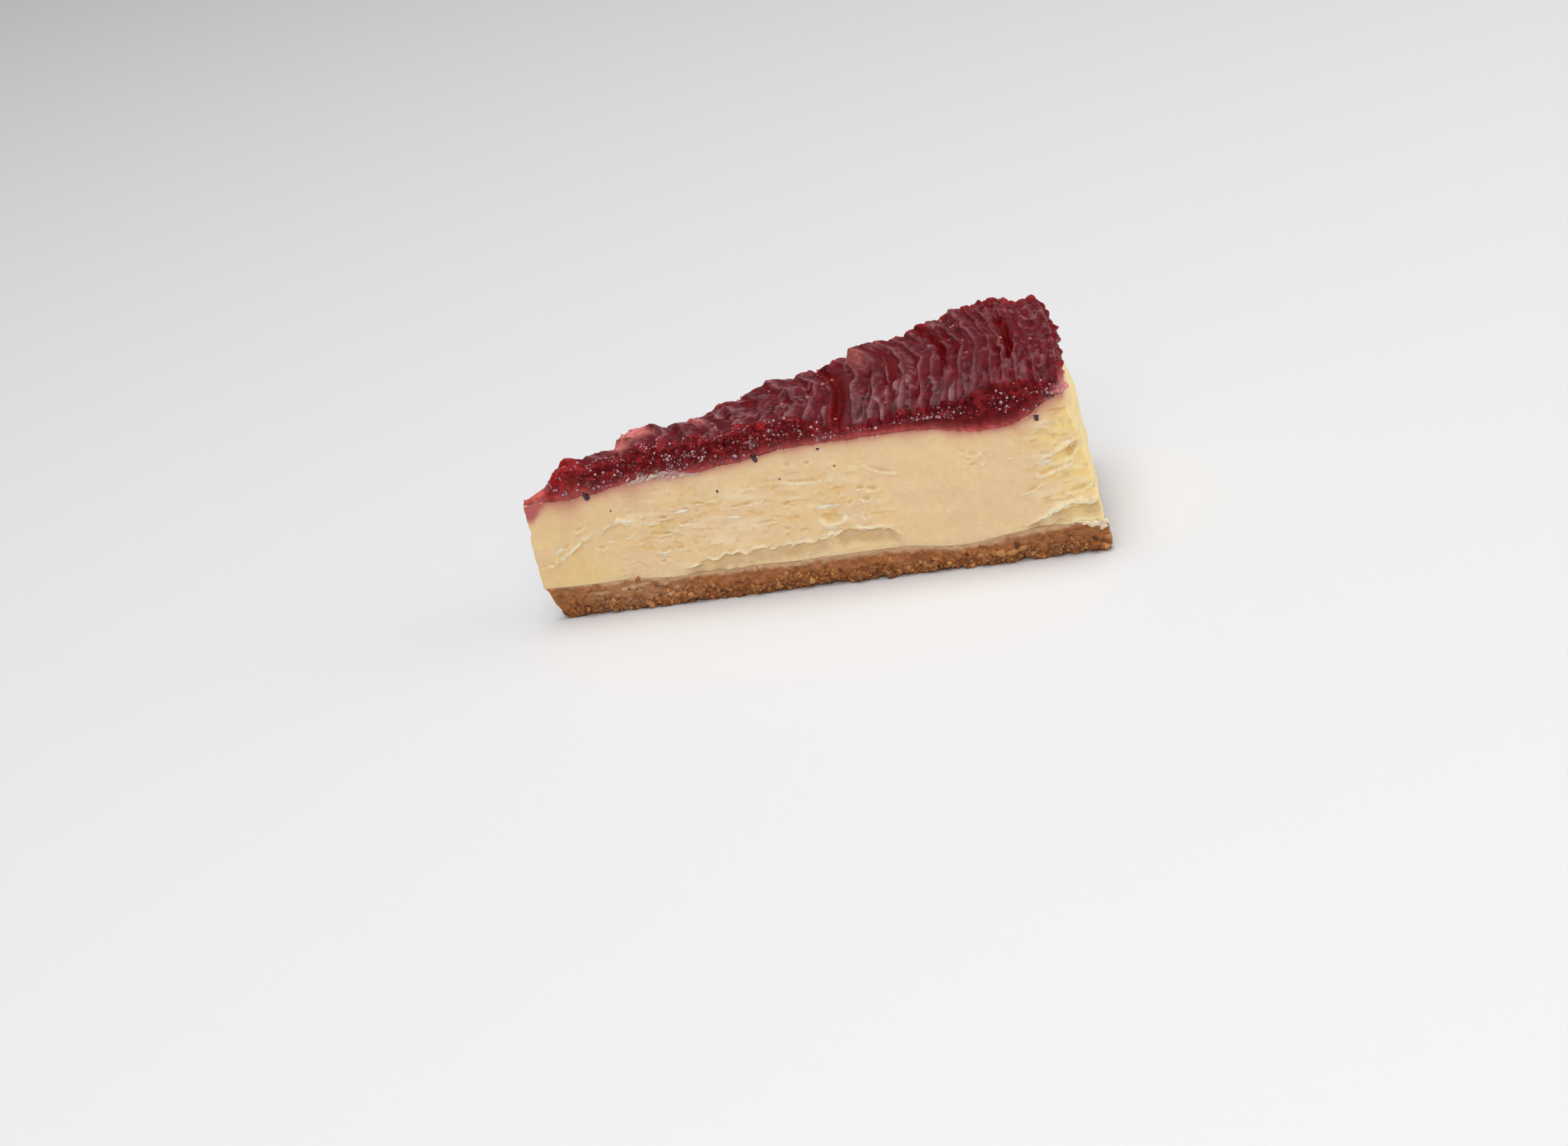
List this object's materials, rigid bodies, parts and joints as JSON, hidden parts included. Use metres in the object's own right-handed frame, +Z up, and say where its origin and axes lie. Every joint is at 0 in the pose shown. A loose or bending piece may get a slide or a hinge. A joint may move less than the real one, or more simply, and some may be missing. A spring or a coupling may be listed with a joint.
{
  "type": "ricotta cheesecake slice",
  "caption": "Wedge slice of baked ricotta cheesecake on a biscuit base, with a combed red berry jelly topping.",
  "frame": {"origin": "middle of the slice's bounding box, at the flat underside of the biscuit base", "axes": "+Z up through the layers, +X from the tip of the wedge to the baked rim, -Y towards the cut face that the picture shows"},
  "size_m": [0.1203, 0.0521, 0.0437],
  "materials": {
    "biscuit": "dry pressed biscuit crumb, matt and granular",
    "ricotta": "dense baked ricotta cream, satin, with small tears and pits from the knife",
    "jelly": "glossy translucent red berry jelly, combed into folds"
  },
  "bodies": {
    "root": {"biscuit_base": "biscuit", "ricotta_filling": "ricotta", "berry_jelly": "jelly"}
  },
  "joints": []
}
